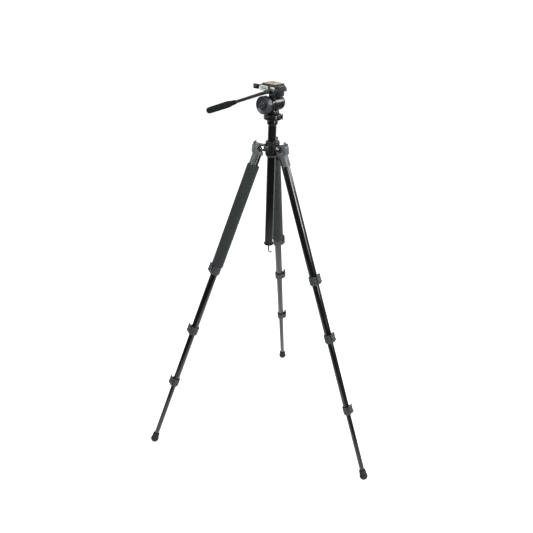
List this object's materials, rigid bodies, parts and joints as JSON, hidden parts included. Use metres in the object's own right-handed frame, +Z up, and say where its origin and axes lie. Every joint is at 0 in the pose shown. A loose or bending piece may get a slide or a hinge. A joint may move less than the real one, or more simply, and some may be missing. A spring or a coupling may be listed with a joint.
{
  "type": "tripod with fluid head",
  "caption": "Camera tripod with folding telescopic legs, lever locks, sliding centre column and a pan-and-tilt fluid head with handle and quick-release plate.",
  "frame": {"origin": "on the floor, under the middle of the box round the whole tripod as it stands", "axes": "+Z up; one leg points to +Y, and the column is parallel to Z behind the origin"},
  "size_m": [0.8302, 0.7264, 1.3416],
  "materials": {
    "black_tube": "gloss black anodised aluminium",
    "satin_casting": "satin grey painted casting",
    "black_hub": "satin black painted casting",
    "bright_bolt": "bright plated steel",
    "dark_nylon": "moulded nylon",
    "lever_nylon": "moulded nylon",
    "foam_grip": "closed-cell foam sleeve",
    "foot_rubber": "moulded rubber",
    "head_black": "semi-gloss black moulding",
    "drum_black": "satin moulded knob",
    "cork_top": "black plate faced with cork",
    "level_white": "pale bezel with a green vial",
    "grip_rubber": "moulded rubber grip",
    "steel_screw": "plain steel"
  },
  "bodies": {
    "base": {"spider_hub": "black_hub", "hinge_bolt_left": "bright_bolt", "hinge_bolt_right": "bright_bolt", "hinge_bolt_back": "bright_bolt"},
    "column": {"center_column": "black_tube", "column_end_cap": "dark_nylon", "pan_base": "head_black"},
    "column_clamp": {"column_clamp_knob": "dark_nylon"},
    "pan_lock": {"pan_lock_knob": "head_black"},
    "pan_head": {"head_housing": "head_black"},
    "tilt_drag": {"drag_knob": "drum_black"},
    "tilt_head": {"tilt_platform": "head_black", "spirit_level": "level_white"},
    "handle": {"handle_rod": "black_tube", "handle_grip": "grip_rubber"},
    "handle_clamp": {"handle_knob": "dark_nylon"},
    "plate": {"qr_plate": "cork_top"},
    "plate_screw": {"camera_screw": "steel_screw"},
    "plate_latch": {"qr_lever": "head_black"},
    "leg_left": {"leg_left_casting": "satin_casting", "leg_left_tube_1": "black_tube", "leg_left_lock_1": "dark_nylon", "leg_left_foam": "foam_grip"},
    "leg_left_stop": {"leg_left_stop": "black_hub"},
    "leg_left_lever_1": {"leg_left_lever_1": "lever_nylon"},
    "leg_left_section_2": {"leg_left_tube_2": "black_tube", "leg_left_lock_2": "dark_nylon"},
    "leg_left_lever_2": {"leg_left_lever_2": "lever_nylon"},
    "leg_left_section_3": {"leg_left_tube_3": "black_tube", "leg_left_lock_3": "dark_nylon"},
    "leg_left_lever_3": {"leg_left_lever_3": "lever_nylon"},
    "leg_left_section_4": {"leg_left_tube_4": "black_tube", "leg_left_foot": "foot_rubber"},
    "leg_right": {"leg_right_casting": "satin_casting", "leg_right_tube_1": "black_tube", "leg_right_lock_1": "dark_nylon"},
    "leg_right_stop": {"leg_right_stop": "black_hub"},
    "leg_right_lever_1": {"leg_right_lever_1": "lever_nylon"},
    "leg_right_section_2": {"leg_right_tube_2": "black_tube", "leg_right_lock_2": "dark_nylon"},
    "leg_right_lever_2": {"leg_right_lever_2": "lever_nylon"},
    "leg_right_section_3": {"leg_right_tube_3": "black_tube", "leg_right_lock_3": "dark_nylon"},
    "leg_right_lever_3": {"leg_right_lever_3": "lever_nylon"},
    "leg_right_section_4": {"leg_right_tube_4": "black_tube", "leg_right_foot": "foot_rubber"},
    "leg_back": {"leg_back_casting": "satin_casting", "leg_back_tube_1": "black_tube", "leg_back_lock_1": "dark_nylon", "leg_back_foam": "foam_grip"},
    "leg_back_stop": {"leg_back_stop": "black_hub"},
    "leg_back_lever_1": {"leg_back_lever_1": "lever_nylon"},
    "leg_back_section_2": {"leg_back_tube_2": "black_tube", "leg_back_lock_2": "dark_nylon"},
    "leg_back_lever_2": {"leg_back_lever_2": "lever_nylon"},
    "leg_back_section_3": {"leg_back_tube_3": "black_tube", "leg_back_lock_3": "dark_nylon"},
    "leg_back_lever_3": {"leg_back_lever_3": "lever_nylon"},
    "leg_back_section_4": {"leg_back_tube_4": "black_tube", "leg_back_foot": "foot_rubber"}
  },
  "joints": [
    {"name": "column_lift", "type": "slide", "parent": "base", "child": "column", "axis": [0, 0, 1], "range_m": [-0.0511, 0.28]},
    {"name": "column_clamp_turn", "type": "hinge", "parent": "base", "child": "column_clamp", "pos_m": [-0.01902, -0.10616, 1.1437], "axis": [0.866, 0.5, 0], "range_deg": [0, 270]},
    {"name": "pan", "type": "hinge", "parent": "column", "child": "pan_head", "pos_m": [-0.01902, -0.10616, 1.272], "axis": [0, 0, 1], "continuous": true},
    {"name": "pan_lock_turn", "type": "hinge", "parent": "column", "child": "pan_lock", "pos_m": [-0.01902, -0.10616, 1.23065], "axis": [0.9903, 0.1392, 0], "range_deg": [0, 270]},
    {"name": "tilt_drag_turn", "type": "hinge", "parent": "pan_head", "child": "tilt_drag", "pos_m": [-0.01902, -0.10616, 1.272], "axis": [-0.5299, -0.848, 0], "range_deg": [0, 270]},
    {"name": "tilt", "type": "hinge", "parent": "pan_head", "child": "tilt_head", "pos_m": [-0.01902, -0.10616, 1.272], "axis": [-0.5299, -0.848, 0], "range_deg": [-90, 45]},
    {"name": "handle_swing", "type": "hinge", "parent": "tilt_head", "child": "handle", "pos_m": [-0.01139, -0.11093, 1.3143], "axis": [-0.5299, -0.848, 0], "range_deg": [-75, 3]},
    {"name": "handle_clamp_turn", "type": "hinge", "parent": "tilt_head", "child": "handle_clamp", "pos_m": [-0.01139, -0.11093, 1.3143], "axis": [-0.5299, -0.848, 0], "range_deg": [0, 270]},
    {"name": "plate_latch_turn", "type": "hinge", "parent": "tilt_head", "child": "plate_latch", "pos_m": [-0.06089, -0.09769, 1.331], "axis": [0, 0, -1], "range_deg": [0, 60]},
    {"name": "plate_lift", "type": "slide", "parent": "tilt_head", "child": "plate", "axis": [0, 0, 1], "range_m": [0, 0.03]},
    {"name": "plate_screw_turn", "type": "hinge", "parent": "plate", "child": "plate_screw", "pos_m": [-0.0205, -0.10523, 1.331], "axis": [0, 0, 1], "continuous": true},
    {"name": "leg_left_fold", "type": "hinge", "parent": "base", "child": "leg_left", "pos_m": [-0.05383, -0.12626, 1.133], "axis": [0.5, -0.866, 0], "range_deg": [0, 19.69]},
    {"name": "leg_left_stop_pull", "type": "slide", "parent": "leg_left", "child": "leg_left_stop", "axis": [-0.8154, -0.4708, 0.3369], "range_m": [0, 0.008], "stiffness_N_per_m": 100},
    {"name": "leg_left_slide_2", "type": "slide", "parent": "leg_left", "child": "leg_left_section_2", "axis": [-0.2918, -0.1685, -0.9415], "range_m": [-0.2055, 0.1185]},
    {"name": "leg_left_slide_3", "type": "slide", "parent": "leg_left_section_2", "child": "leg_left_section_3", "axis": [-0.2918, -0.1685, -0.9415], "range_m": [-0.183, 0.131]},
    {"name": "leg_left_slide_4", "type": "slide", "parent": "leg_left_section_3", "child": "leg_left_section_4", "axis": [-0.2918, -0.1685, -0.9415], "range_m": [-0.2204, 0.0936]},
    {"name": "leg_left_lever_1_open", "type": "hinge", "parent": "leg_left", "child": "leg_left_lever_1", "pos_m": [-0.20623, -0.21425, 0.70847], "axis": [0.5, -0.866, 0], "range_deg": [0, 110]},
    {"name": "leg_left_lever_2_open", "type": "hinge", "parent": "leg_left_section_2", "child": "leg_left_lever_2", "pos_m": [-0.27686, -0.25503, 0.47584], "axis": [0.5, -0.866, 0], "range_deg": [0, 110]},
    {"name": "leg_left_lever_3_open", "type": "hinge", "parent": "leg_left_section_3", "child": "leg_left_lever_3", "pos_m": [-0.34091, -0.29201, 0.2644], "axis": [0.5, -0.866, 0], "range_deg": [0, 110]},
    {"name": "leg_right_fold", "type": "hinge", "parent": "base", "child": "leg_right", "pos_m": [0.0158, -0.12626, 1.133], "axis": [0.5, 0.866, 0], "range_deg": [0, 21.66]},
    {"name": "leg_right_stop_pull", "type": "slide", "parent": "leg_right", "child": "leg_right_stop", "axis": [0.8049, -0.4647, 0.3691], "range_m": [0, 0.008], "stiffness_N_per_m": 100},
    {"name": "leg_right_slide_2", "type": "slide", "parent": "leg_right", "child": "leg_right_section_2", "axis": [0.3196, -0.1845, -0.9294], "range_m": [-0.1715, 0.1525]},
    {"name": "leg_right_slide_3", "type": "slide", "parent": "leg_right_section_2", "child": "leg_right_section_3", "axis": [0.3196, -0.1845, -0.9294], "range_m": [-0.232, 0.082]},
    {"name": "leg_right_slide_4", "type": "slide", "parent": "leg_right_section_3", "child": "leg_right_section_4", "axis": [0.3196, -0.1845, -0.9294], "range_m": [-0.2209, 0.0931]},
    {"name": "leg_right_lever_1_open", "type": "hinge", "parent": "leg_right", "child": "leg_right_lever_1", "pos_m": [0.18074, -0.2215, 0.71477], "axis": [0.5, 0.866, 0], "range_deg": [0, 110]},
    {"name": "leg_right_lever_2_open", "type": "hinge", "parent": "leg_right_section_2", "child": "leg_right_lever_2", "pos_m": [0.24738, -0.25997, 0.51668], "axis": [0.5, 0.866, 0], "range_deg": [0, 110]},
    {"name": "leg_right_lever_3_open", "type": "hinge", "parent": "leg_right_section_3", "child": "leg_right_lever_3", "pos_m": [0.33336, -0.30961, 0.26237], "axis": [0.5, 0.866, 0], "range_deg": [0, 110]},
    {"name": "leg_back_fold", "type": "hinge", "parent": "base", "child": "leg_back", "pos_m": [-0.01902, -0.06596, 1.133], "axis": [-1, 0, 0], "range_deg": [0, 20.33]},
    {"name": "leg_back_stop_pull", "type": "slide", "parent": "leg_back", "child": "leg_back_stop", "axis": [0, 0.9377, 0.3474], "range_m": [0, 0.008], "stiffness_N_per_m": 100},
    {"name": "leg_back_slide_2", "type": "slide", "parent": "leg_back", "child": "leg_back_section_2", "axis": [0, 0.3474, -0.9377], "range_m": [-0.1495, 0.1745]},
    {"name": "leg_back_slide_3", "type": "slide", "parent": "leg_back_section_2", "child": "leg_back_section_3", "axis": [0, 0.3474, -0.9377], "range_m": [-0.214, 0.1]},
    {"name": "leg_back_slide_4", "type": "slide", "parent": "leg_back_section_3", "child": "leg_back_section_4", "axis": [0, 0.3474, -0.9377], "range_m": [-0.2503, 0.0637]},
    {"name": "leg_back_lever_1_open", "type": "hinge", "parent": "leg_back", "child": "leg_back_lever_1", "pos_m": [0.00227, 0.10077, 0.70528], "axis": [-0.342, 0.8812, 0.3265], "range_deg": [0, 110]},
    {"name": "leg_back_lever_2_open", "type": "hinge", "parent": "leg_back_section_2", "child": "leg_back_lever_2", "pos_m": [0.00076, 0.16644, 0.52646], "axis": [-0.342, 0.8812, 0.3265], "range_deg": [0, 110]},
    {"name": "leg_back_lever_3_open", "type": "hinge", "parent": "leg_back_section_3", "child": "leg_back_lever_3", "pos_m": [-0.00074, 0.25452, 0.28715], "axis": [-0.342, 0.8812, 0.3265], "range_deg": [0, 110]}
  ]
}
